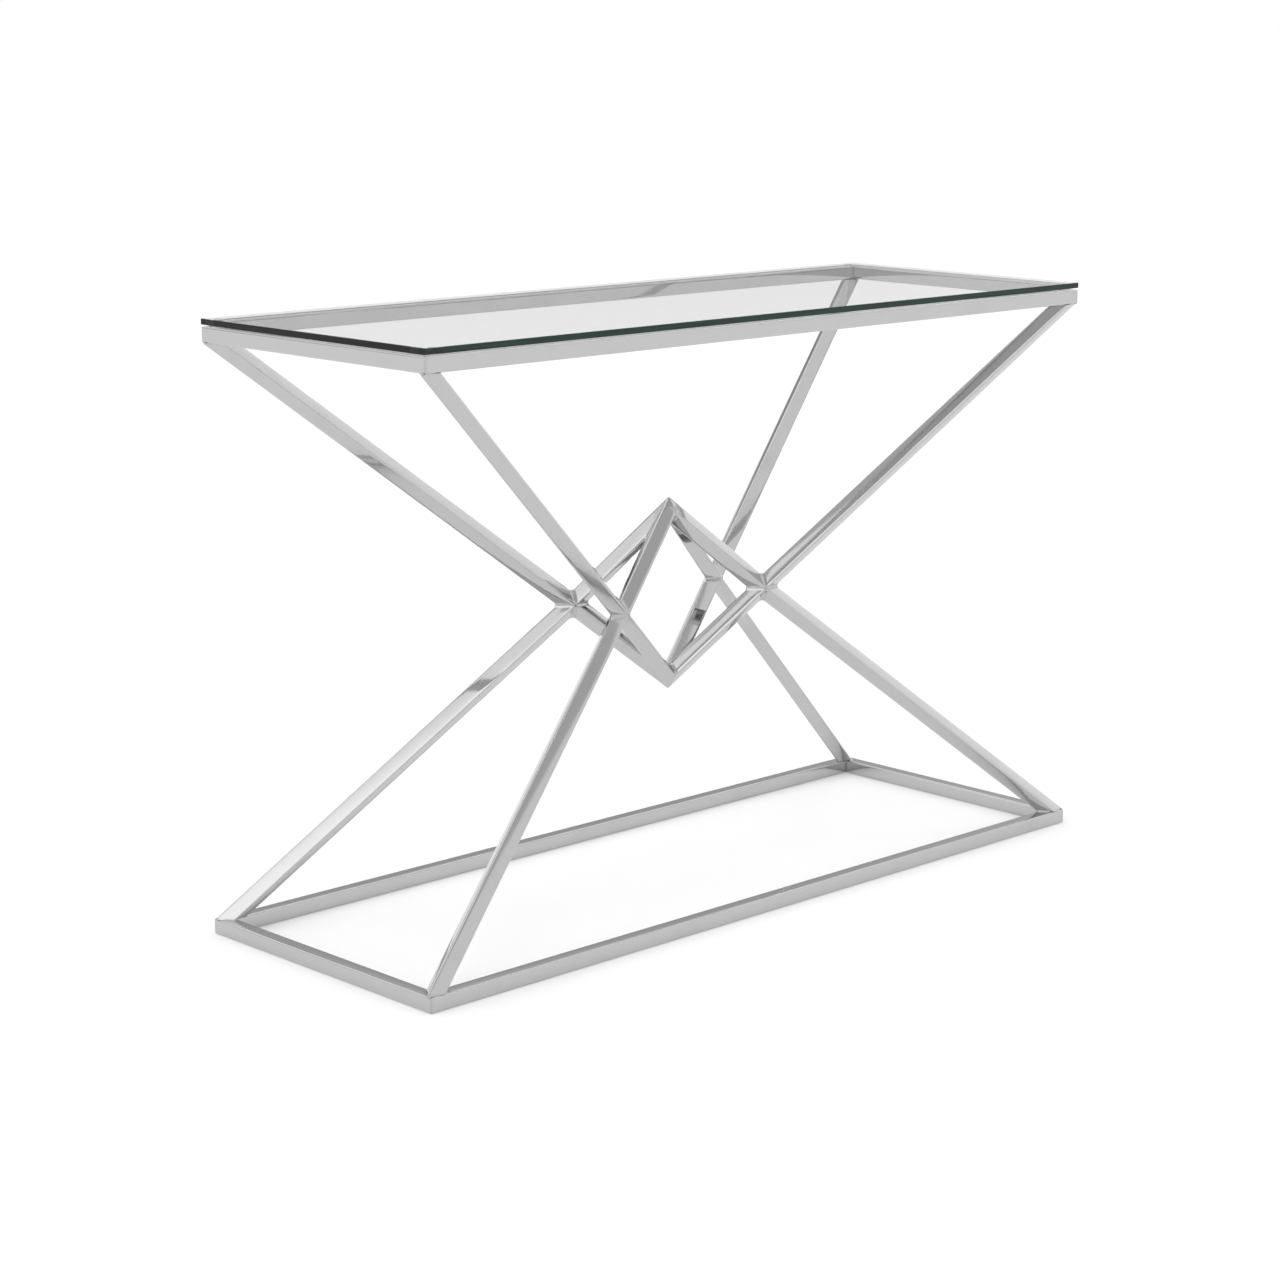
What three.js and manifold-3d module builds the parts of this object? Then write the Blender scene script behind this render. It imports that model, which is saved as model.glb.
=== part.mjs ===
// Console table: loose glass top on a polished square-tube frame of two crossing pyramids.
// Millimetres. +X runs along the table, +Y to the back, +Z up; the origin is at floor level under the centre.
import * as THREE from "three";
import * as BufferGeometryUtils from "three/addons/utils/BufferGeometryUtils.js";
import Module from "manifold-3d";

// Overall size
const LENGTH = 1200;
const DEPTH = 430;
const FRAME_HEIGHT = 780;
const PAD_SPACE = 2;
const GLASS_THICKNESS = 8;

// Square tube
const TUBE = 20;
const WALL = 1.2;
const TUBE_RADIUS = 2;
const ARC_STEPS = 4;

// Crossing pyramids: the leg axes aim LEG_AIM past mid height, and the diamond's own tubes rise and fall
// a little further
const LEG_AIM = 110;
const DIAMOND_RISE = 118;
const DIAMOND_FALL = 112;
const LEG_INSET = 8;
const JOINT_GAP = 0.3;

// Glass edge and pads
const GLASS_ARRIS = 0.8;
const PAD_DIAMETER = 12;
const PAD_ALONG = 20;

const SIDES = { left: -1, right: 1 };
const ENDS = { front: -1, back: 1 };
const MID_HEIGHT = FRAME_HEIGHT / 2;
const BIG = 3000;

const wasm = await Module();
wasm.setup();

function toManifold(geometry) {
  const bare = geometry.clone();
  bare.deleteAttribute("normal");
  bare.deleteAttribute("uv");
  const merged = BufferGeometryUtils.mergeVertices(bare, 1e-4);
  return new wasm.Manifold(
    new wasm.Mesh({
      numProp: 3,
      vertProperties: new Float32Array(merged.attributes.position.array),
      triVerts: new Uint32Array(merged.index.array),
    }),
  );
}

function toGeometry(manifold) {
  const mesh = manifold.getMesh();
  const geometry = new THREE.BufferGeometry();
  geometry.setAttribute("position", new THREE.BufferAttribute(new Float32Array(mesh.vertProperties), 3));
  geometry.setIndex(new THREE.BufferAttribute(new Uint32Array(mesh.triVerts), 1));
  const flat = geometry.toNonIndexed();
  flat.computeVertexNormals();
  return flat;
}

// Rounded square, half of its side and its corner radius given.
function roundedSquare(target, half, radius) {
  const inner = half - radius;
  target.moveTo(half, -inner);
  target.lineTo(half, inner);
  target.absarc(inner, inner, radius, 0, Math.PI / 2, false);
  target.lineTo(-inner, half);
  target.absarc(-inner, inner, radius, Math.PI / 2, Math.PI, false);
  target.lineTo(-half, -inner);
  target.absarc(-inner, -inner, radius, Math.PI, 1.5 * Math.PI, false);
  target.lineTo(inner, -half);
  target.absarc(inner, -inner, radius, 1.5 * Math.PI, 2 * Math.PI, false);
  return target;
}

// Straight square bar from one point to another, hollow unless told otherwise. spin turns the section about
// the bar's own axis; at zero, two faces stand in the vertical plane that holds the axis.
function tubeBetween(from, to, spin, hollow = true) {
  const shape = roundedSquare(new THREE.Shape(), TUBE / 2, TUBE_RADIUS);
  if (hollow) {
    shape.holes.push(roundedSquare(new THREE.Path(), TUBE / 2 - WALL, TUBE_RADIUS - WALL));
  }
  const axis = to.clone().sub(from);
  const length = axis.length();
  const geometry = new THREE.ExtrudeGeometry(shape, {
    depth: length,
    bevelEnabled: false,
    curveSegments: ARC_STEPS,
  });
  const forward = axis.normalize();
  const sideways = new THREE.Vector3(0, 0, 1).cross(forward).normalize();
  const upward = forward.clone().cross(sideways);
  const place = new THREE.Matrix4().makeBasis(sideways, upward, forward);
  place.multiply(new THREE.Matrix4().makeRotationZ(spin));
  place.setPosition(from);
  geometry.applyMatrix4(place);
  return toManifold(geometry);
}

// Everything beyond a plane through point, on the side its normal points to.
function halfSpace(point, normal) {
  const geometry = new THREE.BoxGeometry(BIG, BIG, BIG);
  geometry.translate(0, 0, BIG / 2);
  const turn = new THREE.Quaternion().setFromUnitVectors(new THREE.Vector3(0, 0, 1), normal.clone().normalize());
  geometry.applyQuaternion(turn);
  geometry.translate(point.x, point.y, point.z);
  return toManifold(geometry);
}

function cutBy(solid, planes) {
  let result = solid;
  for (const [point, normal] of planes) {
    result = result.subtract(halfSpace(point, normal));
  }
  return result;
}

const object = new THREE.Group();
object.name = "console_table";

function steel() {
  return new THREE.MeshStandardMaterial({ color: 0xc8cacb, roughness: 0.08, metalness: 1 });
}

function addPiece(name, geometry, material, parent = object) {
  const mesh = new THREE.Mesh(geometry, material);
  mesh.name = name;
  parent.add(mesh);
  return mesh;
}

const vec = (x, y, z) => new THREE.Vector3(x, y, z);

// A rectangle of four mitred tubes, its lowest face at the given height.
function addRailFrame(prefix, bottom) {
  const frame = new THREE.Group();
  frame.name = `${prefix}_frame`;
  frame.position.z = bottom;
  object.add(frame);
  const middle = TUBE / 2;
  const slack = (JOINT_GAP / 2) * Math.SQRT2;
  for (const [end, s] of Object.entries(ENDS)) {
    const y = s * (DEPTH / 2 - middle);
    const rail = tubeBetween(vec(-LENGTH / 2, y, middle), vec(LENGTH / 2, y, middle), 0);
    const trimmed = cutBy(rail, [
      [vec(-LENGTH / 2 + slack, (s * DEPTH) / 2, 0), vec(-1, -s, 0)],
      [vec(LENGTH / 2 - slack, (s * DEPTH) / 2, 0), vec(1, -s, 0)],
    ]);
    addPiece(`${prefix}_rail_${end}`, toGeometry(trimmed), steel(), frame);
  }
  for (const [side, s] of Object.entries(SIDES)) {
    const x = s * (LENGTH / 2 - middle);
    const rail = tubeBetween(vec(x, -DEPTH / 2, middle), vec(x, DEPTH / 2, middle), 0);
    const trimmed = cutBy(rail, [
      [vec((s * LENGTH) / 2, -DEPTH / 2 + slack, 0), vec(-s, -1, 0)],
      [vec((s * LENGTH) / 2, DEPTH / 2 - slack, 0), vec(-s, 1, 0)],
    ]);
    addPiece(`${prefix}_rail_${side}`, toGeometry(trimmed), steel(), frame);
  }
}

addRailFrame("base", 0);
addRailFrame("top", FRAME_HEIGHT - TUBE);

// Where a sloping tube's axis meets the inner face of a frame, and where it meets the vertical centre line.
const cornerReach = vec(LENGTH / 2 - TUBE / 2, DEPTH / 2 - TUBE / 2, 0);
const footOffset = cornerReach.clone().setLength(cornerReach.length() - LEG_INSET);
const footDistance = footOffset.length();
const drop = MID_HEIGHT - TUBE + LEG_AIM;
const crossRadius = (footDistance * LEG_AIM) / drop;
const outward = cornerReach.clone().normalize();
const overrun = 40;

// Edge-up bar on the line through two points, carried past both.
function longTube(from, to, hollow = true) {
  const run = to.clone().sub(from).normalize();
  return tubeBetween(
    from.clone().addScaledVector(run, -overrun),
    to.clone().addScaledVector(run, overrun),
    Math.PI / 4,
    hollow,
  );
}

// Two tubes of one corner: the leg outside the crossing, closed flush at its foot, and the tube of the diamond
// that carries its line on inside it. up is 1 for the pair that hangs from the top frame, -1 for the pair below.
function addSlopingLine(sx, sy, up, corner) {
  const radial = vec(sx * outward.x, sy * outward.y, 0);
  const frameFace = MID_HEIGHT + up * (MID_HEIGHT - TUBE);
  const foot = vec(sx * footOffset.x, sy * footOffset.y, frameFace);
  const crossing = radial.clone().multiplyScalar(crossRadius).setZ(MID_HEIGHT);
  const apexHeight = up > 0 ? MID_HEIGHT - DIAMOND_FALL : MID_HEIGHT + DIAMOND_RISE;
  const half = JOINT_GAP / 2;
  const footCuts = [
    [vec(0, 0, frameFace - up * JOINT_GAP), vec(0, 0, up)],
    [vec((sx * LENGTH) / 2, 0, 0), vec(sx, 0, 0)],
    [vec(0, (sy * DEPTH) / 2, 0), vec(0, sy, 0)],
  ];
  const legTube = cutBy(longTube(crossing, foot), [
    ...footCuts,
    [crossing.clone().addScaledVector(radial, half), radial.clone().negate()],
    [crossing.clone().setZ(MID_HEIGHT + up * half), vec(0, 0, -up)],
  ]);
  const footPlate = cutBy(longTube(crossing, foot, false), [
    ...footCuts,
    [vec(0, 0, frameFace - up * (JOINT_GAP + WALL)), vec(0, 0, -up)],
  ]);
  const leg = legTube.add(footPlate);
  const inner = cutBy(longTube(vec(0, 0, apexHeight), crossing), [
    [crossing.clone().addScaledVector(radial, -half), radial],
    [crossing.clone().setZ(MID_HEIGHT - up * half), vec(0, 0, up)],
    [vec(sx * half, 0, 0), vec(-sx, 0, 0)],
    [vec(0, sy * half, 0), vec(0, -sy, 0)],
  ]);
  const legName = up > 0 ? "upper_leg" : "lower_leg";
  const innerName = up > 0 ? "diamond_lower" : "diamond_upper";
  addPiece(`${legName}_${corner}`, toGeometry(leg), steel());
  addPiece(`${innerName}_${corner}`, toGeometry(inner), steel());
}

for (const [end, sy] of Object.entries(ENDS)) {
  for (const [side, sx] of Object.entries(SIDES)) {
    addSlopingLine(sx, sy, 1, `${end}_${side}`);
    addSlopingLine(sx, sy, -1, `${end}_${side}`);
  }
}

// Glass sheet with a small arris all round.
const sheet = new THREE.Shape();
const glassX = LENGTH / 2 - GLASS_ARRIS;
const glassY = DEPTH / 2 - GLASS_ARRIS;
sheet.moveTo(-glassX, -glassY);
sheet.lineTo(glassX, -glassY);
sheet.lineTo(glassX, glassY);
sheet.lineTo(-glassX, glassY);
sheet.closePath();
const glassGeometry = new THREE.ExtrudeGeometry(sheet, {
  depth: GLASS_THICKNESS - 2 * GLASS_ARRIS,
  bevelEnabled: true,
  bevelThickness: GLASS_ARRIS,
  bevelSize: GLASS_ARRIS,
  bevelSegments: 1,
});
const glass = addPiece(
  "glass_top",
  glassGeometry,
  new THREE.MeshStandardMaterial({
    color: 0xdfe8e4,
    roughness: 0.02,
    metalness: 0,
    transparent: true,
    opacity: 0.25,
  }),
);
glass.position.z = FRAME_HEIGHT + PAD_SPACE + GLASS_ARRIS;

// Clear pads on the long top rails, next to the corners.
const padHeight = PAD_SPACE - 2 * JOINT_GAP;
for (const [end, sy] of Object.entries(ENDS)) {
  for (const [side, sx] of Object.entries(SIDES)) {
    const radius = PAD_DIAMETER / 2;
    const profile = [
      new THREE.Vector2(0, 0),
      new THREE.Vector2(radius, 0),
      new THREE.Vector2(radius, padHeight * 0.6),
      new THREE.Vector2(radius * 0.8, padHeight),
      new THREE.Vector2(0, padHeight),
    ];
    const geometry = new THREE.LatheGeometry(profile, 32);
    geometry.rotateX(Math.PI / 2);
    const pad = addPiece(
      `bumper_${end}_${side}`,
      geometry,
      new THREE.MeshStandardMaterial({
        color: 0xe6ebe8,
        roughness: 0.25,
        metalness: 0,
        transparent: true,
        opacity: 0.5,
      }),
    );
    pad.position.set(
      sx * (LENGTH / 2 - PAD_ALONG),
      sy * (DEPTH / 2 - TUBE / 2),
      FRAME_HEIGHT + JOINT_GAP,
    );
  }
}

export default object;
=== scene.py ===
"""Console table of polished steel tube with a loose glass top, in metres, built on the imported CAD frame."""

import math

import bmesh
import bpy
from mathutils import Matrix, Vector, noise


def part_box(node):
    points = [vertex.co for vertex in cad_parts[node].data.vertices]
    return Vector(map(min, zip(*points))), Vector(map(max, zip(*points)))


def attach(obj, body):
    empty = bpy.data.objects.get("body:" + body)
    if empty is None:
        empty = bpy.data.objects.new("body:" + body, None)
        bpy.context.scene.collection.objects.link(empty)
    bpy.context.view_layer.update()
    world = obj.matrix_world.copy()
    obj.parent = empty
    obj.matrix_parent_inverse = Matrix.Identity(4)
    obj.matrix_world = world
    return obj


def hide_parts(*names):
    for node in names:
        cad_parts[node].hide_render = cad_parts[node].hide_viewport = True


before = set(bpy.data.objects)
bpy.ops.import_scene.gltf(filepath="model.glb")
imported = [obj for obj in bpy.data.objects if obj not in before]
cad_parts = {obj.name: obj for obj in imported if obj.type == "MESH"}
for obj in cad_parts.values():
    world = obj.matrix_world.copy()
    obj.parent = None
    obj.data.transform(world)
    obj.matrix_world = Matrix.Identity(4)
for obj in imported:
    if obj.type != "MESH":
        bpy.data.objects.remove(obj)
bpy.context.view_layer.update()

# ---------------------------------------------------------------- sizes, from the frame

GLASS_LOW, GLASS_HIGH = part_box("glass_top")
RAIL_LOW, RAIL_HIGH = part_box("base_rail_front")
LENGTH = GLASS_HIGH.x - GLASS_LOW.x
DEPTH = GLASS_HIGH.y - GLASS_LOW.y
TUBE = RAIL_HIGH.z - RAIL_LOW.z
FRAME_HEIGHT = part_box("top_rail_front")[1].z
MID_HEIGHT = FRAME_HEIGHT / 2

WALL = 0.0012
TUBE_RADIUS = 0.002
SEAM_GAP = 0.00012
GLASS_ARRIS = 0.0005
# how far past mid height the line of a leg meets the table's upright axis
LEG_AIM = 0.110
# the two points of the diamond, from mid height
DIAMOND_RISE = 0.118
DIAMOND_FALL = 0.112
# from the middle of a rail corner in to the middle of a leg's foot
LEG_INSET = 0.008

# how finely a tube is built: steps round its section, rings close to its ends, and rings between them
FACE_STEPS = 8
CORNER_STEPS = 6
ROUND_STEPS = 5
NEAR_END = (0.0004, 0.0012, 0.0024, 0.004, 0.006, 0.0085, 0.0115, 0.015)
STATION_SPACING = 0.010
LEAST_STEPS = 4

# how full the faces of a tube are; the flattest one is also turned a little on its axis, in radians
CROWN = 0.00010
FLAT_CROWN = 0.00003
FLATTEST_TUBE = "diamond_upper_front_left"
TWIST = 0.007

# the seams: a small bevel on straight ones and a groove along rounded ones
SEAM_BEVEL = 0.00025
SEAM_DRAW_IN = 0.00015
GROOVE_HALF = 0.00022
GROOVE_DEPTH = 0.00035

# waves along the faces and the pull of the weld heat at the ends; the turns make them differ by face
WAVE_HEIGHT = 0.00004
WAVE_LENGTH = 0.09
WAVE_TURN = 3.7
HEAT_PULL = 0.00012
HEAT_REACH = 0.016
HEAT_LENGTH = 0.007
HEAT_TURN = 5.1
# how far the dull metal beside a weld reaches
WELD_TINT_REACH = 0.006

SHARP_ANGLE = math.radians(38)
# a direction runs along a plane up to this dot product with the plane's normal
ALONG_PLANE = 0.02
# and two normals are the same from this dot product on
ON_NORMAL = 0.999
TINY = 1e-9

# the gaps between a pad and the two nearest edges of the sheet, added up
PAD_LOW, PAD_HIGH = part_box("bumper_front_right")
PAD_PLACE = (LENGTH / 2 - PAD_HIGH.x) + (DEPTH / 2 + PAD_LOW.y)

SIDES = {"left": -1, "right": 1}
ENDS = {"front": -1, "back": 1}

CORNER = Vector(((LENGTH - TUBE) / 2, (DEPTH - TUBE) / 2, 0))
OUTWARD = CORNER.normalized()
FOOT_REACH = CORNER.length - LEG_INSET
DROP = MID_HEIGHT - TUBE + LEG_AIM
CROSS_REACH = FOOT_REACH * LEG_AIM / DROP


# ---------------------------------------------------------------- node helpers


class Graph:
    """Short way to add and join shader nodes."""

    def __init__(self, tree):
        self.tree = tree
        tree.nodes.clear()

    def add(self, kind, inputs=None, **settings):
        node = self.tree.nodes.new(kind)
        for key, value in settings.items():
            setattr(node, key, value)
        for key, value in (inputs or {}).items():
            self.feed(node.inputs[key], value)
        return node

    def feed(self, socket, value):
        if isinstance(value, bpy.types.NodeSocket):
            self.tree.links.new(value, socket)
        else:
            socket.default_value = value

    def math(self, operation, a, b=0.0):
        return self.add("ShaderNodeMath", {0: a, 1: b}, operation=operation).outputs[0]

    def dot(self, a, b):
        return self.add("ShaderNodeVectorMath", {0: a, 1: b}, operation="DOT_PRODUCT").outputs["Value"]

    def ramp(self, value, low, high, to_low=0.0, to_high=1.0):
        inputs = {"Value": value, "From Min": low, "From Max": high, "To Min": to_low, "To Max": to_high}
        return self.add("ShaderNodeMapRange", inputs, interpolation_type="SMOOTHSTEP").outputs["Result"]

    def blend(self, share, a, b):
        return self.add("ShaderNodeMix", {0: share, 2: a, 3: b}, data_type="FLOAT").outputs[0]

    def blend_colour(self, share, a, b):
        return self.add("ShaderNodeMix", {0: share, 6: a, 7: b}, data_type="RGBA").outputs[2]

    def noise(self, vector, scale, detail=3.0, roughness=0.5):
        inputs = {"Vector": vector, "Scale": scale, "Detail": detail, "Roughness": roughness}
        return self.add("ShaderNodeTexNoise", inputs).outputs["Fac"]

    def stretched(self, vector, scale):
        return self.add("ShaderNodeMapping", {"Vector": vector, "Scale": scale}).outputs["Vector"]


def new_material(name):
    material = bpy.data.materials.new(name)
    material.use_nodes = True
    graph = Graph(material.node_tree)
    shader = graph.add("ShaderNodeBsdfPrincipled")
    output = graph.add("ShaderNodeOutputMaterial")
    graph.tree.links.new(shader.outputs["BSDF"], output.inputs["Surface"])
    return material, graph, shader, output


# ---------------------------------------------------------------- materials

WHITE = (1.0, 1.0, 1.0, 1.0)

# the steel's grey, its blue over its red, and what a smudge and a weld take off the grey
STEEL_GREY = 0.52
STEEL_BLUE = 1.003
SMUDGE_SHADE = 0.02
WELD_SHADE = 0.05
# its roughness where the polishing lines are smoothest and roughest, and what a smudge and a weld add
SMOOTHEST_LINE = 0.035
ROUGHEST_LINE = 0.057
SMUDGE_ROUGHNESS = 0.03
WELD_ROUGHNESS = 0.05
# relief of the lines and of the grinding marks at the welds
LINE_RELIEF = 0.35
GRIND_RELIEF = 1.4
RELIEF_DEPTH = 0.00002


def polished_steel():
    """Buffed stainless tube: fine polishing lines, faint smudges, and duller, darker metal at the welds."""
    material, graph, shader, _ = new_material("polished_steel")
    along = graph.add("ShaderNodeAttribute", attribute_name="along").outputs["Vector"]
    weld = graph.add("ShaderNodeAttribute", attribute_name="weld").outputs["Fac"]
    place = graph.add("ShaderNodeTexCoord").outputs["Object"]

    lines = graph.noise(graph.stretched(along, (2.0, 900.0, 900.0)), 1.0, 2.0, 0.6)
    smudge = graph.ramp(graph.noise(place, 14.0, 4.0, 0.6), 0.48, 0.75)
    grind = graph.noise(place, 260.0, 3.0, 0.6)

    shade = graph.math("SUBTRACT", STEEL_GREY, graph.math("MULTIPLY", smudge, SMUDGE_SHADE))
    shade = graph.math("SUBTRACT", shade, graph.math("MULTIPLY", weld, WELD_SHADE))
    blue = graph.math("MULTIPLY", shade, STEEL_BLUE)
    colour = graph.add("ShaderNodeCombineColor", {"Red": shade, "Green": shade, "Blue": blue})
    graph.feed(shader.inputs["Base Color"], colour.outputs["Color"])
    shader.inputs["Metallic"].default_value = 1.0

    rough = graph.ramp(lines, 0.3, 0.7, SMOOTHEST_LINE, ROUGHEST_LINE)
    rough = graph.math("ADD", rough, graph.math("MULTIPLY", smudge, SMUDGE_ROUGHNESS))
    rough = graph.math("ADD", rough, graph.math("MULTIPLY", weld, WELD_ROUGHNESS))
    graph.feed(shader.inputs["Roughness"], rough)

    marks = graph.math("MULTIPLY", graph.math("MULTIPLY", grind, weld), GRIND_RELIEF)
    relief = graph.math("ADD", graph.math("MULTIPLY", lines, LINE_RELIEF), marks)
    bump = graph.add("ShaderNodeBump", {"Height": relief, "Strength": 0.5, "Distance": RELIEF_DEPTH})
    graph.feed(shader.inputs["Normal"], bump.outputs["Normal"])
    return material


# how much the sheet mirrors: looking straight down, and how much more at a grazing angle
MIRROR_SHARE = 0.043
GRAZING_SHARE = 0.53
GRAZING_POWER = 5.0
GLASS_IOR = 1.52
SMEAR_ROUGHNESS = 0.03
# a painted glint lightens the cut edge this near to a pad, and not at all this far off
PAD_GLINT_NEAR = 0.006
PAD_GLINT_FAR = 0.011


def clear_glass():
    """The faces of the sheet: they bend light, mirror more at a grazing view, and have a faint smear."""
    material, graph, shader, output = new_material("glass")
    graph.tree.nodes.remove(shader)
    place = graph.add("ShaderNodeTexCoord").outputs["Object"]
    smear = graph.noise(graph.stretched(place, (6.0, 14.0, 1.0)), 1.0, 4.0, 0.6)
    facing = graph.add("ShaderNodeLayerWeight", {"Blend": 0.5}).outputs["Facing"]
    grazing = graph.math("MULTIPLY", graph.math("POWER", facing, GRAZING_POWER), GRAZING_SHARE)
    share = graph.math("ADD", grazing, MIRROR_SHARE)
    bent = graph.add("ShaderNodeBsdfRefraction", {"Color": WHITE, "Roughness": 0.0, "IOR": GLASS_IOR})
    dull = graph.ramp(smear, 0.5, 0.8, 0.0, SMEAR_ROUGHNESS)
    mirror = graph.add("ShaderNodeBsdfAnisotropic", {"Color": WHITE, "Roughness": dull})
    seen = graph.add("ShaderNodeMixShader", {0: share, 1: bent.outputs[0], 2: mirror.outputs[0]})
    let_through = graph.add("ShaderNodeBsdfTransparent", {"Color": WHITE})
    shadow_ray = graph.add("ShaderNodeLightPath").outputs["Is Shadow Ray"]
    inputs = {0: shadow_ray, 1: seen.outputs[0], 2: let_through.outputs[0]}
    surface = graph.add("ShaderNodeMixShader", inputs)
    graph.tree.links.new(surface.outputs[0], output.inputs["Surface"])
    return material


def cut_glass(name, long_side, short_side, pad_glint_colour, gloss):
    """Cut, polished glass: nearly black from outside and unseen from inside; long sides and short ends are
    coloured apart as painted light and shade, and a painted glint lightens it at the pads.
    """
    material, graph, shader, _ = new_material(name)
    place = graph.add("ShaderNodeTexCoord").outputs["Object"]
    geometry = graph.add("ShaderNodeNewGeometry")
    # painted light and shade: each cut face takes the long-side or the short-end colour by which way it faces
    painted_facing_shade = graph.math("ABSOLUTE", graph.dot(geometry.outputs["Normal"], (1, 0, 0)))
    colour = graph.blend_colour(painted_facing_shade, (*long_side, 1.0), (*short_side, 1.0))

    # painted glint: near each pad the edge colour is blended through a fine speckle toward the glint colour
    along_x = graph.math("ABSOLUTE", graph.dot(place, (1, 0, 0)))
    along_y = graph.math("ABSOLUTE", graph.dot(place, (0, 1, 0)))
    from_end = graph.math("SUBTRACT", LENGTH / 2, along_x)
    from_side = graph.math("SUBTRACT", DEPTH / 2, along_y)
    from_corner = graph.math("ADD", from_end, from_side)
    from_pad = graph.math("ABSOLUTE", graph.math("SUBTRACT", from_corner, PAD_PLACE))
    near = graph.ramp(from_pad, PAD_GLINT_NEAR, PAD_GLINT_FAR, 1.0, 0.0)
    glint = graph.ramp(graph.noise(graph.stretched(place, (300.0, 300.0, 300.0)), 1.0, 3.0, 0.7), 0.38, 0.56)
    colour = graph.blend_colour(graph.math("MULTIPLY", near, glint), colour, (*pad_glint_colour, 1.0))

    streaks = graph.noise(graph.stretched(place, (9.0, 9.0, 400.0)), 1.0, 4.0, 0.6)
    shade = graph.ramp(streaks, 0.3, 0.7, 0.75, 1.25)
    toned = graph.add("ShaderNodeVectorMath", {0: colour, 3: shade}, operation="SCALE")
    graph.feed(shader.inputs["Base Color"], toned.outputs[0])
    polish = graph.noise(graph.stretched(place, (400.0, 400.0, 60.0)), 1.0, 2.0, 0.5)
    graph.feed(shader.inputs["Roughness"], graph.ramp(polish, 0.3, 0.7, 0.04, 0.12))
    shader.inputs["IOR"].default_value = GLASS_IOR
    shader.inputs["Specular IOR Level"].default_value = gloss
    graph.feed(shader.inputs["Alpha"], graph.math("SUBTRACT", 1.0, geometry.outputs["Backfacing"]))
    return material


def clear_pad():
    """Soft clear bumper, a little cloudy."""
    material, graph, shader, _ = new_material("bumper")
    shader.inputs["Base Color"].default_value = (0.93, 0.95, 0.94, 1.0)
    shader.inputs["Transmission Weight"].default_value = 0.85
    shader.inputs["IOR"].default_value = 1.42
    place = graph.add("ShaderNodeTexCoord").outputs["Object"]
    cloud = graph.noise(place, 700.0, 3.0, 0.5)
    graph.feed(shader.inputs["Roughness"], graph.ramp(cloud, 0.3, 0.7, 0.12, 0.3))
    return material


FLOOR_GREY = 0.80
FLOOR_GLOW = 0.16


def pale_floor():
    """Plain white floor that glows a little, as an underlit table does, so shadows stay faint."""
    material, _, shader, _ = new_material("pale_floor")
    shader.inputs["Base Color"].default_value = (FLOOR_GREY, FLOOR_GREY, FLOOR_GREY, 1.0)
    shader.inputs["Roughness"].default_value = 0.9
    shader.inputs["Specular IOR Level"].default_value = 0.0
    shader.inputs["Emission Color"].default_value = WHITE
    shader.inputs["Emission Strength"].default_value = FLOOR_GLOW
    return material


# ---------------------------------------------------------------- square tubes


def section(half, radius, crown):
    """Points and outward directions round a square section with round corners and slightly full faces."""
    flat = half - radius - crown
    quarter = []
    for step in range(FACE_STEPS):
        s = 2 * step / FACE_STEPS - 1
        lean = 2 * crown * s / flat
        quarter.append((Vector((half - crown * s * s, flat * s)), Vector((1, lean)).normalized()))
    for step in range(CORNER_STEPS):
        a = math.pi / 2 * step / CORNER_STEPS
        direction = Vector((math.cos(a), math.sin(a)))
        quarter.append((Vector((flat, flat)) + direction * radius, direction))
    points = []
    for turn in range(4):
        rotation = Matrix.Rotation(turn * math.pi / 2, 2)
        points += [(rotation @ p, rotation @ d) for p, d in quarter]
    return points


INNER_SECTION = section(TUBE / 2 - WALL, TUBE_RADIUS - WALL, 0.0)


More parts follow.
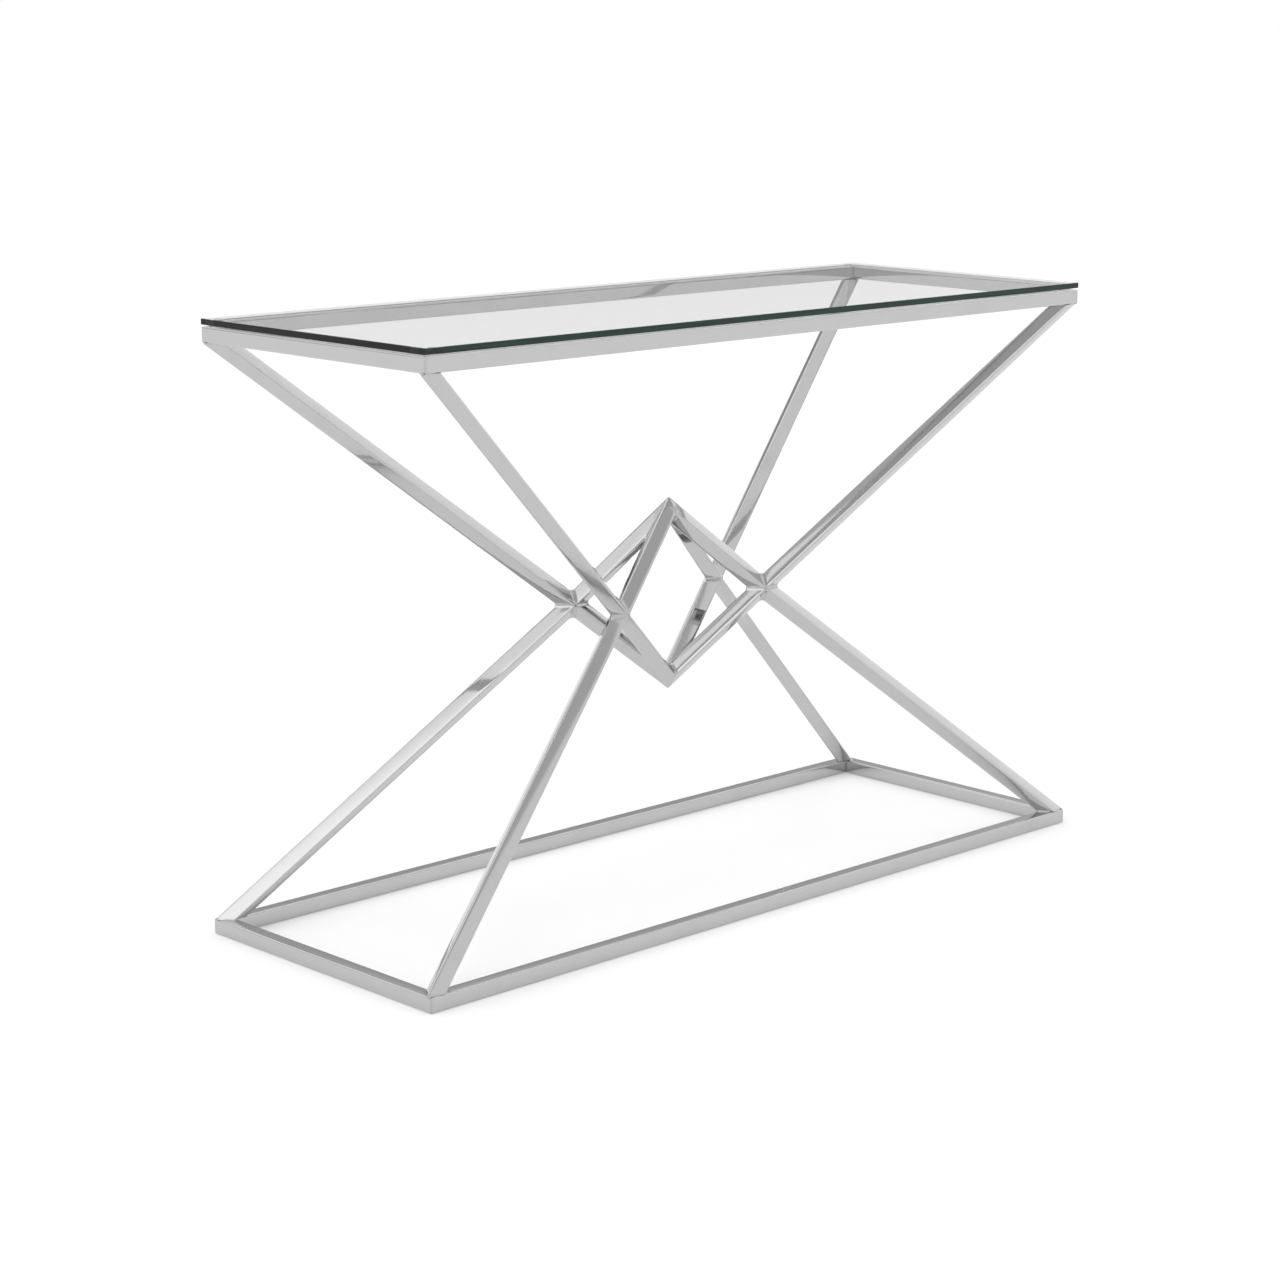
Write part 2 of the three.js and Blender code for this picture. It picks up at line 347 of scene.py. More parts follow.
class Tube:
    """A straight tube on an axis, cut at both ends by planes. Each removes the side its normal points to."""

    def __init__(self, start, end, spin, planes, crown):
        self.start = start
        self.middle_steps = max(LEAST_STEPS, round((end - start).length / STATION_SPACING))
        self.outline = section(TUBE / 2, TUBE_RADIUS, crown)
        self.forward = (end - start).normalized()
        side = Vector((0, 0, 1)).cross(self.forward).normalized()
        up = self.forward.cross(side)
        turn = Matrix.Rotation(spin, 3, self.forward)
        self.side = turn @ side
        self.up = turn @ up
        self.planes = [(p, n.normalized()) for p, n in planes]

    def origin(self, point):
        return self.start + self.side * point.x + self.up * point.y

    def direction(self, flat):
        return self.side * flat.x + self.up * flat.y

    def span(self, origin):
        """Where the line through origin along the tube begins and ends, and the plane that cuts it there."""
        low, high, low_plane, high_plane = -math.inf, math.inf, None, None
        for place, normal in self.planes:
            along = self.forward.dot(normal)
            if abs(along) < TINY:
                continue
            t = (place - origin).dot(normal) / along
            if along > 0 and t < high:
                high, high_plane = t, normal
            if along < 0 and t > low:
                low, low_plane = t, normal
        return low, high, low_plane, high_plane

    def end_path(self, outward, plane_normal, rounding):
        """(distance in from one end, how far the surface is drawn in), round a convex joint or at a seam."""
        lean = -outward.dot(plane_normal)
        path = []
        if lean > ALONG_PLANE and rounding > 0:
            angle = math.acos(min(lean, 1.0))
            reach = rounding / math.tan(angle)
            for step in range(ROUND_STEPS + 1):
                a = (math.pi / 2 - angle) * (1 - step / ROUND_STEPS)
                groove = GROOVE_DEPTH if step == 0 else 0.0
                path.append((reach - rounding * math.sin(a), rounding * (1 - math.cos(a)) + groove))
                if step == 0:
                    path.append((path[0][0] + GROOVE_HALF, path[0][1] - groove))
        else:
            reach = SEAM_BEVEL
            for step in range(ROUND_STEPS + 2):
                share = step / (ROUND_STEPS + 1)
                path.append((share * reach, SEAM_DRAW_IN * (1 - share) ** 2))
        path += [(reach + d, 0.0) for d in NEAR_END]
        return path

    def stations(self, point, flat_direction, rounding):
        """(distance along, draw-in, distance from the nearer end) at every ring, on one line of it."""
        low, high, low_plane, high_plane = self.span(self.origin(point))
        outward = self.direction(flat_direction)
        head = self.end_path(outward, low_plane, rounding[0])
        tail = self.end_path(outward, high_plane, rounding[1])
        rings = [(low + d, inset, d) for d, inset in head]
        begin = rings[-1][0]
        finish = high - tail[-1][0]
        for step in range(1, self.middle_steps):
            share = step / self.middle_steps
            t = begin + (finish - begin) * share
            rings.append((t, 0.0, min(t - low, high - t)))
        rings += [(high - d, inset, d) for d, inset in reversed(tail)]
        return rings


def metal_relief(place, outward, distance):
    """How far the real surface is from the ideal one: long soft waves and the pull of the weld heat."""
    wave = noise.noise(place / WAVE_LENGTH + outward * WAVE_TURN) - 1
    pull = noise.noise(place / HEAT_LENGTH + outward * HEAT_TURN) - 1
    near = max(0.0, 1 - distance / HEAT_REACH)
    return WAVE_HEIGHT * wave + HEAT_PULL * near * near * pull


def tube_piece(name, start, end, spin, planes, rounding, material, crown=CROWN):
    """Hollow tube mesh between its cut planes, with round convex joints and fine seams."""
    tube = Tube(start, end, spin, planes, crown)
    columns = [tube.stations(p, d, rounding) for p, d in tube.outline]
    count = len(tube.outline)
    rings = len(columns[0])
    verts, along, weld = [], [], []
    for ring in range(rings):
        for column, (point, flat) in zip(columns, tube.outline):
            t, inset, distance = column[ring]
            outward = tube.direction(flat)
            place = tube.origin(point) + tube.forward * t
            relief = metal_relief(place, outward, distance)
            verts.append(place + outward * (relief - inset))
            along.append((t, point.x, point.y))
            weld.append(max(0.0, 1 - distance / WELD_TINT_REACH))
    faces = []
    for ring in range(rings - 1):
        for i in range(count):
            j = (i + 1) % count
            a = ring * count
            faces.append((a + i, a + j, a + count + j, a + count + i))
    inner_start = len(verts)
    for far_end in (False, True):
        for point, _ in INNER_SECTION:
            origin = tube.origin(point)
            low, high = tube.span(origin)[:2]
            t = high if far_end else low
            verts.append(origin + tube.forward * t)
            along.append((t, point.x, point.y))
            weld.append(1.0)
    last = (rings - 1) * count
    for i in range(count):
        j = (i + 1) % count
        faces.append((inner_start + j, inner_start + i, inner_start + count + i, inner_start + count + j))
        faces.append((j, i, inner_start + i, inner_start + j))
        faces.append((last + i, last + j, inner_start + count + j, inner_start + count + i))
    return metal_object(name, verts, faces, along, weld, material), tube


def metal_object(name, verts, faces, along, weld, material):
    """Smooth metal with the two attributes the steel reads: place along the tube, and nearness to a weld."""
    mesh = bpy.data.meshes.new(name)
    mesh.from_pydata(verts, [], faces)
    flat_along = [value for vector in along for value in vector]
    mesh.attributes.new("along", "FLOAT_VECTOR", "POINT").data.foreach_set("vector", flat_along)
    mesh.attributes.new("weld", "FLOAT", "POINT").data.foreach_set("value", weld)
    piece = bpy.data.objects.new(name, mesh)
    bpy.context.scene.collection.objects.link(piece)
    work = bmesh.new()
    work.from_mesh(mesh)
    bmesh.ops.recalc_face_normals(work, faces=work.faces)
    work.to_mesh(mesh)
    work.free()
    mesh.shade_smooth()
    mesh.set_sharp_from_angle(angle=SHARP_ANGLE)
    mesh.materials.append(material)
    return piece


def stand_for(piece, node, body):
    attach(piece, body)
    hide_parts(node)


# rounding of the rails' mitres and of the diamond's points
RAIL_ROUND = 0.0016
APEX_ROUND = 0.004


def build_rail(node, start, stop, planes, steel):
    piece, _ = tube_piece(f"{node}_tube", start, stop, 0, planes, (RAIL_ROUND, RAIL_ROUND), steel)
    stand_for(piece, node, "frame")


def build_rails(prefix, bottom, steel):
    """A rectangle of four mitred tubes."""
    slack = SEAM_GAP / 2 * math.sqrt(2)
    half_length, half_depth, middle = LENGTH / 2, DEPTH / 2, TUBE / 2
    z = bottom + middle
    for end, s in ENDS.items():
        y = s * (half_depth - middle)
        planes = [
            (Vector((-half_length + slack, s * half_depth, 0)), Vector((-1, -s, 0))),
            (Vector((half_length - slack, s * half_depth, 0)), Vector((1, -s, 0))),
        ]
        start, stop = Vector((-half_length, y, z)), Vector((half_length, y, z))
        build_rail(f"{prefix}_rail_{end}", start, stop, planes, steel)
    for side, s in SIDES.items():
        x = s * (half_length - middle)
        planes = [
            (Vector((s * half_length, -half_depth + slack, 0)), Vector((-s, -1, 0))),
            (Vector((s * half_length, half_depth - slack, 0)), Vector((-s, 1, 0))),
        ]
        start, stop = Vector((x, -half_depth, z)), Vector((x, half_depth, z))
        build_rail(f"{prefix}_rail_{side}", start, stop, planes, steel)


def build_corner_tubes(sx, sy, up, corner, steel):
    """The leg of one corner and the diamond tube that carries its line on past the crossing."""
    radial = Vector((sx * OUTWARD.x, sy * OUTWARD.y, 0))
    frame_face = MID_HEIGHT + up * (MID_HEIGHT - TUBE)
    foot = radial * FOOT_REACH + Vector((0, 0, frame_face))
    crossing = radial * CROSS_REACH + Vector((0, 0, MID_HEIGHT))
    apex = Vector((0, 0, MID_HEIGHT - DIAMOND_FALL if up > 0 else MID_HEIGHT + DIAMOND_RISE))
    half = SEAM_GAP / 2
    level = Vector((0, 0, up))
    leg_planes = [
        (Vector((0, 0, frame_face - up * SEAM_GAP)), level),
        (Vector((sx * LENGTH / 2, 0, 0)), Vector((sx, 0, 0))),
        (Vector((0, sy * DEPTH / 2, 0)), Vector((0, sy, 0))),
        (crossing + radial * half, -radial),
        (crossing + level * half, -level),
    ]
    inner_planes = [
        (crossing - radial * half, radial),
        (crossing - level * half, level),
        (Vector((sx * half, 0, 0)), Vector((-sx, 0, 0))),
        (Vector((0, sy * half, 0)), Vector((0, -sy, 0))),
    ]
    leg_node = f"{'upper_leg' if up > 0 else 'lower_leg'}_{corner}"
    inner_node = f"{'diamond_lower' if up > 0 else 'diamond_upper'}_{corner}"
    edge_up = math.pi / 4
    leg, leg_tube = tube_piece(f"{leg_node}_tube", crossing, foot, edge_up, leg_planes, (0.0, 0.0), steel)
    stand_for(leg, leg_node, "frame")
    crown, spin = (FLAT_CROWN, edge_up + TWIST) if inner_node == FLATTEST_TUBE else (CROWN, edge_up)
    name, rounding = f"{inner_node}_tube", (APEX_ROUND, 0.0)
    inner, inner_tube = tube_piece(name, apex, crossing, spin, inner_planes, rounding, steel, crown)
    stand_for(inner, inner_node, "frame")
    return leg_tube, inner_tube


# ---------------------------------------------------------------- welds

# how far a bead reaches onto each tube at a crossing, at a point of the diamond and round a foot
CROSSING_WELD = 0.0050
APEX_WELD = 0.0060
FOOT_WELD = 0.0020

# a foot's bead has its full size this far in from the rail's edge; slight and short ones are left out
FOOT_TAPER = 0.0015
LEAST_ROOM = 0.15
SHORTEST_RUN = 4

# the plug in the point of a leg's hollow, and how high it fills the groove over the rail's rounded edge
PLUG_SUNK = 0.00003
PLUG_DEPTH = 0.003
GROOVE_FILL = 0.0017

# a bead's section: smaller at its ends, proud of the tubes, sunk at its rim, deep underneath, and filled
WELD_ENDS = 0.35
WELD_LIFT = 0.00012
WELD_SUNK = 0.00030
WELD_DEPTH = 0.0009
WELD_FILL = 0.30

# its unevenness, across and on top, and how finely it is built
WELD_SWAY = 0.16
WELD_SWAY_LENGTH = 0.006
WELD_RIPPLE = 0.00016
WELD_RIPPLE_LENGTH = 0.0035
WELD_STATIONS = 40
FOOT_STATIONS = 120
WELD_STEPS = 9
WELD_SPACING = 0.001


def seam_line(tube, tail, plane, hollow_only=True):
    """Points (place, outward) along the edge that a cut plane leaves on a tube, where the next one meets."""
    found = []
    for flat, flat_direction in tube.outline:
        origin = tube.origin(flat)
        low, high, low_plane, high_plane = tube.span(origin)
        outward = tube.direction(flat_direction)
        active = high_plane if tail else low_plane
        wanted = active.dot(plane) > ON_NORMAL and (not hollow_only or outward.dot(plane) > ALONG_PLANE)
        found.append((origin + tube.forward * (high if tail else low), outward) if wanted else None)
    count = len(found)
    best = []
    for start in range(count):
        if found[start] is None or (found[start - 1] is not None and any(f is None for f in found)):
            continue
        run = []
        for step in range(count):
            item = found[(start + step) % count]
            if item is None:
                break
            run.append(item)
        if len(run) > len(best):
            best = run
    return best


def resampled(line, count):
    """The same line with evenly spaced points."""
    travel = [0.0]
    for (a, _), (b, _) in zip(line, line[1:]):
        travel.append(travel[-1] + (b - a).length)
    points, k = [], 0
    for step in range(count):
        goal = travel[-1] * step / (count - 1)
        while k < len(line) - 2 and travel[k + 1] < goal:
            k += 1
        share = (goal - travel[k]) / max(travel[k + 1] - travel[k], TINY)
        share = min(max(share, 0.0), 1.0)
        place = line[k][0].lerp(line[k + 1][0], share)
        outward = line[k][1].lerp(line[k + 1][1], share).normalized()
        points.append((place, outward))
    return points


def add_bead(shape, stations):
    """Adds one closed bead. A station is (place, way, outward) on both surfaces, and the bead's size."""
    verts, faces, along, weld = shape
    first = len(verts)
    # the points of the top, one sunk rim on either side of it, and two underneath
    ring = (WELD_STEPS + 1) + 2 + 2
    for index, ((pa, da, na), (pb, db, nb), size) in enumerate(stations):
        middle = (pa + pb) / 2
        outward = (na + nb).normalized()
        reach = size * (1 + WELD_SWAY * noise.noise(middle / WELD_SWAY_LENGTH))
        edge_a, edge_b = pa + da * reach + na * WELD_LIFT, pb + db * reach + nb * WELD_LIFT
        corner = middle.lerp((edge_a + edge_b) / 2, WELD_FILL) + outward * WELD_LIFT
        row = [edge_a + da * WELD_SUNK - na * (WELD_SUNK + WELD_LIFT)]
        for step in range(WELD_STEPS + 1):
            u = step / WELD_STEPS
            place = edge_a * (1 - u) ** 2 + corner * 2 * u * (1 - u) + edge_b * u * u
            ripple = noise.noise(place / WELD_RIPPLE_LENGTH) * WELD_RIPPLE * 4 * u * (1 - u)
            row.append(place + outward * ripple)
        row.append(edge_b + db * WELD_SUNK - nb * (WELD_SUNK + WELD_LIFT))
        row.append(pb - nb * WELD_DEPTH)
        row.append(pa - na * WELD_DEPTH)
        verts.extend(row)
        along.extend((index * WELD_SPACING, step * WELD_SPACING, 0.0) for step in range(ring))
        weld.extend([1.0] * ring)
    for index in range(len(stations) - 1):
        for step in range(ring):
            a, b = first + index * ring + step, first + index * ring + (step + 1) % ring
            faces.append((a, b, b + ring, a + ring))
    faces.append(tuple(range(first, first + ring)))
    last = first + (len(stations) - 1) * ring
    faces.append(tuple(range(last + ring - 1, last - 1, -1)))


def joint_bead(shape, one, other, plane, size):
    """The bead in the hollow between two tubes that meet on a plane. Its normal points out of the first.

    Each of them comes as (tube, whether it is the tube's far end that meets the plane).
    """
    lines = [seam_line(*one, plane), seam_line(*other, -plane)]
    if (lines[0][0][0] - lines[1][0][0]).length > (lines[0][0][0] - lines[1][-1][0]).length:
        lines[1].reverse()
    ways = [-tube.forward if tail else tube.forward for tube, tail in (one, other)]
    line_a, line_b = (resampled(line, WELD_STATIONS) for line in lines)
    stations = []
    for step, ((pa, na), (pb, nb)) in enumerate(zip(line_a, line_b)):
        share = step / (WELD_STATIONS - 1)
        fullness = WELD_ENDS + (1 - WELD_ENDS) * math.sqrt(4 * share * (1 - share))
        stations.append(((pa, ways[0], na), (pb, ways[1], nb), size * fullness))
    add_bead(shape, stations)


def foot_bead(shape, leg, up):
    """The bead round the foot of a leg, as far as there is rail under it."""
    level = Vector((0, 0, up))
    line = resampled(seam_line(leg, True, level, hollow_only=False), FOOT_STATIONS)
    runs = [[]]
    for place, outward in line:
        flat = Vector((outward.x, outward.y, 0)).normalized()
        over = place + flat * FOOT_WELD
        from_end = LENGTH / 2 - abs(over.x)
        from_side = DEPTH / 2 - abs(over.y)
        to_inner_edge = TUBE - TUBE_RADIUS - min(from_end, from_side)
        to_outer_edge = min(from_end, from_side) - TUBE_RADIUS
        room = min(min(to_inner_edge, to_outer_edge) / FOOT_TAPER, 1.0)
        if room > LEAST_ROOM:
            runs[-1].append(((place, -leg.forward, outward), (place, flat, -level), FOOT_WELD * room))
        elif runs[-1]:
            runs.append([])
    for stations in runs:
        if len(stations) >= SHORTEST_RUN:
            add_bead(shape, stations)


def cut_ends(leg, outline, level):
    """(origin, distance to the far cut, whether an outer face of the frame makes it) for each line."""
    found = []
    for flat, _ in outline:
        origin = leg.origin(flat)
        _, high, _, plane = leg.span(origin)
        found.append((origin, high, plane.dot(level) < ON_NORMAL))
    return found


def tip_plug(shape, leg, up):
    """Fills the point of a leg's hollow, which the frame's outer face cuts open, and the groove above it."""
    level = Vector((0, 0, up))
    work = bmesh.new()
    ends = cut_ends(leg, INNER_SECTION, level)
    for i, (origin, high, on_side) in enumerate(ends):
        if on_side or ends[i - 1][2] or ends[(i + 1) % len(ends)][2]:
            for depth in (PLUG_SUNK, PLUG_DEPTH):
                work.verts.new(origin + leg.forward * (high - depth))
    outer_ends = cut_ends(leg, leg.outline, level)
    rim = [origin + leg.forward * high for origin, high, on_side in outer_ends if on_side]
    face = MID_HEIGHT + up * (MID_HEIGHT - TUBE)
    reach = DEPTH / 2 - RAIL_ROUND
    front = max(min(place.y for place in rim), -reach)
    back = min(max(place.y for place in rim), reach)
    side = math.copysign(LENGTH / 2 - PLUG_SUNK, rim[0].x)
    inside = math.copysign(LENGTH / 2 - TUBE_RADIUS, rim[0].x)
    for place in ((side, front), (side, back), (inside, front), (inside, back)):
        work.verts.new((*place, face))
    work.verts.new((side, (front + back) / 2, face + up * GROOVE_FILL))
    bmesh.ops.convex_hull(work, input=work.verts)
    bmesh.ops.delete(work, geom=[v for v in work.verts if not v.link_faces], context="VERTS")
    work.verts.index_update()
    verts, faces, along, weld = shape
    first = len(verts)
    verts.extend(v.co.copy() for v in work.verts)
    along.extend((0.0, 0.0, 0.0) for _ in work.verts)
    weld.extend(1.0 for _ in work.verts)
    faces.extend(tuple(first + v.index for v in f.verts) for f in work.faces)
    work.free()


def weld_piece(name, shape, steel):
    piece = metal_object(name, *shape, steel)
    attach(piece, "frame")


def build_welds(legs, inners, steel):
    """Beads at the four crossings, at both points of the diamond and at the feet of the legs."""
    for end, sy in ENDS.items():
        for side, sx in SIDES.items():
            corner = f"{end}_{side}"
            radial = Vector((sx * OUTWARD.x, sy * OUTWARD.y, 0))
            level = Vector((0, 0, 1))
            upper_leg, lower_leg = legs[corner, 1], legs[corner, -1]
            lower_inner, upper_inner = inners[corner, 1], inners[corner, -1]
            shape = ([], [], [], [])
            joint_bead(shape, (upper_leg, False), (lower_leg, False), -level, CROSSING_WELD)
            joint_bead(shape, (upper_inner, True), (lower_inner, True), -level, CROSSING_WELD)
            joint_bead(shape, (upper_leg, False), (upper_inner, True), -radial, CROSSING_WELD)
            joint_bead(shape, (lower_leg, False), (lower_inner, True), -radial, CROSSING_WELD)
            weld_piece(f"weld_crossing_{corner}", shape, steel)
            for up, word in ((1, "upper"), (-1, "lower")):
                shape = ([], [], [], [])
                foot_bead(shape, legs[corner, up], up)
                tip_plug(shape, legs[corner, up], up)
                weld_piece(f"weld_foot_{word}_{corner}", shape, steel)
    for up, word in ((-1, "upper"), (1, "lower")):
        shape = ([], [], [], [])
        for side in SIDES:
            pair = [(inners[f"{end}_{side}", up], False) for end in ENDS]
            joint_bead(shape, *pair, Vector((0, 1, 0)), APEX_WELD)
        for end in ENDS:
            pair = [(inners[f"{end}_{side}", up], False) for side in SIDES]
            joint_bead(shape, *pair, Vector((1, 0, 0)), APEX_WELD)
        weld_piece(f"weld_point_{word}", shape, steel)


# ---------------------------------------------------------------- glass and pads


def build_glass(faces, edge, arris):
    """The sheet: clear faces, dark cut edges, and a narrow arris round each face, the lower one clear and the
    upper one with a painted highlight.
    """
    low, high = GLASS_LOW, GLASS_HIGH
    inset = Vector((GLASS_ARRIS, GLASS_ARRIS, 0))
    rings = [
        (low + inset, high - inset, low.z),
        (low, high, low.z + GLASS_ARRIS),
        (low, high, high.z - GLASS_ARRIS),
        (low + inset, high - inset, high.z),
    ]
    verts = []
    for a, b, z in rings:
        verts += [(a.x, a.y, z), (b.x, a.y, z), (b.x, b.y, z), (a.x, b.y, z)]
    face_slot, edge_slot, arris_slot = range(3)
    quads, slots = [(3, 2, 1, 0), (12, 13, 14, 15)], [face_slot, face_slot]
    for ring, slot in enumerate((face_slot, edge_slot, arris_slot)):
        for i in range(4):
            a, b = ring * 4 + i, ring * 4 + (i + 1) % 4
            quads.append((a, b, b + 4, a + 4))
            slots.append(slot)
    mesh = bpy.data.meshes.new("glass_top_sheet")
    mesh.from_pydata(verts, [], quads)
    for material in (faces, edge, arris):
        mesh.materials.append(material)
    mesh.polygons.foreach_set("material_index", slots)
    sheet = bpy.data.objects.new("glass_top_sheet", mesh)
    bpy.context.scene.collection.objects.link(sheet)
    stand_for(sheet, "glass_top", "glass")


# outline of a pad, from the middle of its foot to the middle of its top, in shares of radius and height
PAD_FOOT = [(0, 0), (0.93, 0), (0.985, 0.08), (1.0, 0.25)]
PAD_SHOULDER = [(0.985, 0.5), (0.93, 0.72), (0.82, 0.88), (0.66, 0.965), (0.4, 1.0), (0, 1.0)]
PAD_STEPS = 40
SAME_POINT = 1e-6


def build_pad(corner, material):
    """A low round bumper with a soft shoulder."""
    node = f"bumper_{corner}"
    low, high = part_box(node)
    centre = (low + high) / 2
    radius = (high.x - low.x) / 2
    height = high.z - low.z
    work = bmesh.new()
    outline = [work.verts.new((r * radius, 0, z * height)) for r, z in PAD_FOOT + PAD_SHOULDER]
    geom = outline + [work.edges.new(pair) for pair in zip(outline, outline[1:])]
    bmesh.ops.spin(work, geom=geom, cent=(0, 0, 0), axis=(0, 0, 1), angle=2 * math.pi, steps=PAD_STEPS)
    bmesh.ops.remove_doubles(work, verts=work.verts, dist=SAME_POINT)
    bmesh.ops.recalc_face_normals(work, faces=work.faces)
    mesh = bpy.data.meshes.new(f"{node}_pad")
    work.to_mesh(mesh)
    work.free()
    mesh.shade_smooth()
    mesh.materials.append(material)
    piece = bpy.data.objects.new(f"{node}_pad", mesh)
    bpy.context.scene.collection.objects.link(piece)
    piece.location = (centre.x, centre.y, low.z)
    stand_for(piece, node, "frame")


# ---------------------------------------------------------------- studio

# How bright each part of the studio is. The back wall has four bands: sweep, low, middle and high.
FRONT_LIGHT = 1.0
RIGHT_LIGHT = 1.45
SWEEP_LIGHT = 0.95
LOW_BACK_LIGHT = 0.33
BACK_LIGHT = 0.47
HIGH_BACK_LIGHT = 1.15
LEFT_LIGHT = 1.22
LEFT_GLOW = 0.42
CEILING = 0.63
ZENITH_LIGHT = 1.6

# Where one wall's light turns into the next one's: degrees of azimuth from the front, right positive.
BACK_TO_LEFT = (-150.0, -120.0)
LEFT_TO_FRONT = (-50.0, -20.0)
FRONT_TO_RIGHT = (62.0, 96.0)
RIGHT_TO_BACK = (100.0, 136.0)

# Where one height's light turns into the next one's, as sines of the angle above the horizon.
SWEEP_TO_LOW_BACK = (0.026, 0.061)
LOW_BACK_TO_BACK = (0.13, 0.21)
BACK_TO_HIGH_BACK = (0.28, 0.50)
LEFT_GLOW_FADES = (0.749, 0.814)
CEILING_TO_ZENITH = (0.93, 0.96)

# How high the walls are, over their distance, and the azimuths where one height turns into the next.
FRONT_RISE = 1.05
LEFT_RISE = 1.61
RIGHT_RISE = 1.75
LEFT_TO_FRONT_RISE = (-45.0, -10.0)
FRONT_TO_RIGHT_RISE = (32.9, 33.3)
WALL_EDGE = 0.015

# A ceiling beam lowers the left wall by this much, between these two pairs of azimuths.
LEFT_BEAM = 0.17
BEAM_STARTS = (-67.5, -64.5)
BEAM_ENDS = (-62.2, -61.2)

TO_RIGHT, TO_FRONT, UPWARD = (1, 0, 0), (0, -1, 0), (0, 0, 1)
LEAST_LEVEL = 1e-4


def wall_light(graph, azimuth, height):
    """Walls of different brightness that run into each other."""
    back = graph.blend(graph.ramp(height, *SWEEP_TO_LOW_BACK), SWEEP_LIGHT, LOW_BACK_LIGHT)
    back = graph.blend(graph.ramp(height, *LOW_BACK_TO_BACK), back, BACK_LIGHT)
    back = graph.blend(graph.ramp(height, *BACK_TO_HIGH_BACK), back, HIGH_BACK_LIGHT)
    left = graph.math("ADD", graph.ramp(height, *LEFT_GLOW_FADES, LEFT_GLOW, 0.0), LEFT_LIGHT)
    light = graph.blend(graph.ramp(azimuth, *FRONT_TO_RIGHT), FRONT_LIGHT, RIGHT_LIGHT)
    light = graph.blend(graph.ramp(azimuth, *RIGHT_TO_BACK), light, back)
    light = graph.blend(graph.ramp(azimuth, *LEFT_TO_FRONT), left, light)
    return graph.blend(graph.ramp(azimuth, *BACK_TO_LEFT), back, light)


def wall_rise(graph, azimuth, forward_share):
    """How high the walls are over their distance: a straight front wall, round side walls, and the beam."""
    beam = graph.ramp(azimuth, *BEAM_ENDS, LEFT_BEAM, 0.0)
    beam = graph.math("MULTIPLY", beam, graph.ramp(azimuth, *BEAM_STARTS))
    left_rise = graph.math("SUBTRACT", LEFT_RISE, beam)
    front_rise = graph.math("MULTIPLY", forward_share, FRONT_RISE)
    rise = graph.blend(graph.ramp(azimuth, *LEFT_TO_FRONT_RISE), left_rise, front_rise)
    return graph.blend(graph.ramp(azimuth, *FRONT_TO_RIGHT_RISE), rise, RIGHT_RISE)


def studio_world():
    """What the table mirrors: bright walls, a grey ceiling and a light overhead. The camera sees white."""
    world = bpy.data.worlds.new("studio")
    world.use_nodes = True
    graph = Graph(world.node_tree)
    ray = graph.add("ShaderNodeTexCoord").outputs["Generated"]
    to_right, to_front, height = (graph.dot(ray, way) for way in (TO_RIGHT, TO_FRONT, UPWARD))
    azimuth = graph.math("MULTIPLY", graph.math("ARCTAN2", to_right, to_front), math.degrees(1))
    level = graph.math("SQRT", graph.math("SUBTRACT", 1.0, graph.math("POWER", height, 2.0)))
    level = graph.math("MAXIMUM", level, LEAST_LEVEL)
    slope = graph.math("DIVIDE", height, level)

    rise = wall_rise(graph, azimuth, graph.math("DIVIDE", to_front, level))
    over = graph.ramp(graph.math("SUBTRACT", slope, rise), -WALL_EDGE, WALL_EDGE)
    room = graph.blend(over, wall_light(graph, azimuth, height), CEILING)
    room = graph.blend(graph.ramp(height, *CEILING_TO_ZENITH), room, ZENITH_LIGHT)

    camera_ray = graph.add("ShaderNodeLightPath").outputs["Is Camera Ray"]
    strength = graph.blend(camera_ray, room, 1.0)
    background = graph.add("ShaderNodeBackground", {"Color": WHITE, "Strength": strength})
    output = graph.add("ShaderNodeOutputWorld")
    graph.tree.links.new(background.outputs[0], output.inputs["Surface"])
    bpy.context.scene.world = world


FLOOR_HALF = 80.0


def build_floor(material):
    mesh = bpy.data.meshes.new("floor")
    corners = [(x * FLOOR_HALF, y * FLOOR_HALF, 0) for x, y in ((-1, -1), (1, -1), (1, 1), (-1, 1))]
    mesh.from_pydata(corners, [], [(0, 1, 2, 3)])
    mesh.materials.append(material)
    floor = bpy.data.objects.new("floor", mesh)
    bpy.context.scene.collection.objects.link(floor)


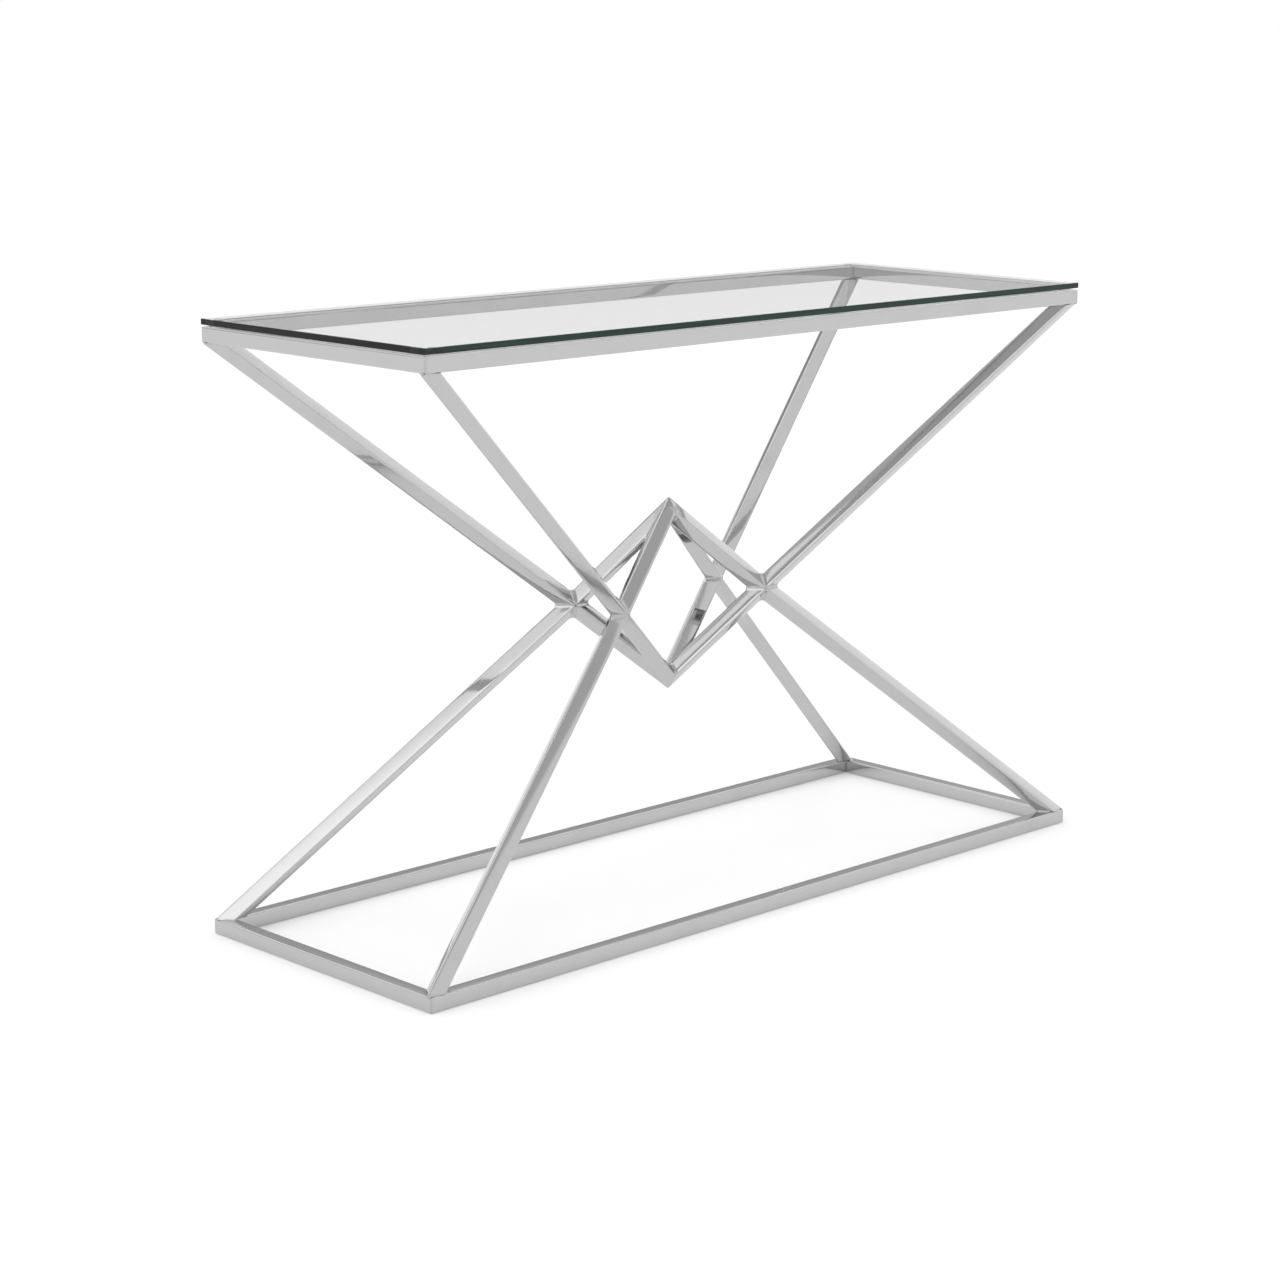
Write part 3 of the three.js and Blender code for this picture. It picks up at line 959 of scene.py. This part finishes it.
CAMERA_PLACE = Vector((-2.75139, -2.80015, 1.18277))
CAMERA_YAW = math.radians(-45.11)
CAMERA_PITCH = math.radians(9.81)
CAMERA_ROLL = math.radians(0.36)
SENSOR = 36.0
LENS = 83.52
SHIFT_X = -0.046875
SHIFT_Y = -0.1
FARTHEST_SEEN = 400.0


def build_camera():
    """From the front left, a little above the glass. The lens is shifted: the photograph is a crop."""
    forward = Vector((-math.sin(CAMERA_YAW), math.cos(CAMERA_YAW), 0)) * math.cos(CAMERA_PITCH)
    forward.z = -math.sin(CAMERA_PITCH)
    right = Vector((math.cos(CAMERA_YAW), math.sin(CAMERA_YAW), 0))
    up = right.cross(forward)
    tilted_right = right * math.cos(CAMERA_ROLL) + up * math.sin(CAMERA_ROLL)
    tilted_up = up * math.cos(CAMERA_ROLL) - right * math.sin(CAMERA_ROLL)
    camera = bpy.data.cameras.new("camera")
    camera.sensor_width = SENSOR
    camera.lens = LENS
    camera.shift_x = SHIFT_X
    camera.shift_y = SHIFT_Y
    camera.clip_end = FARTHEST_SEEN
    holder = bpy.data.objects.new("camera", camera)
    bpy.context.scene.collection.objects.link(holder)
    turn = Matrix((tilted_right, tilted_up, -forward)).transposed()
    holder.matrix_world = Matrix.Translation(CAMERA_PLACE) @ turn.to_4x4()
    bpy.context.scene.camera = holder


# ---------------------------------------------------------------- the table

build_camera()
studio_world()
build_floor(pale_floor())
steel = polished_steel()
build_rails("base", 0.0, steel)
build_rails("top", FRAME_HEIGHT - TUBE, steel)
pad_material = clear_pad()
legs, inners = {}, {}
for end, sy in ENDS.items():
    for side, sx in SIDES.items():
        corner = f"{end}_{side}"
        for up in (1, -1):
            legs[corner, up], inners[corner, up] = build_corner_tubes(sx, sy, up, corner, steel)
        build_pad(corner, pad_material)
build_welds(legs, inners, steel)
# cut edge: long sides, short ends that differ from them only by painted light and shade, a painted glint near
# the pads, and gloss
edge = cut_glass("glass_edge", (0.015, 0.034, 0.024), (0.004, 0.003, 0.005), (0.016, 0.024, 0.020), 0.2)
# upper arris: the same glass, drawn lighter than the cut edge as a painted highlight, with a brighter painted
# glint near the pads
arris = cut_glass("glass_arris", (0.047, 0.088, 0.084), (0.046, 0.052, 0.062), (0.16, 0.24, 0.23), 0.3)
build_glass(clear_glass(), edge, arris)

scene = bpy.context.scene
scene.view_settings.view_transform = "Standard"
scene.cycles.max_bounces = 16
scene.cycles.glossy_bounces = 10
scene.cycles.transmission_bounces = 14
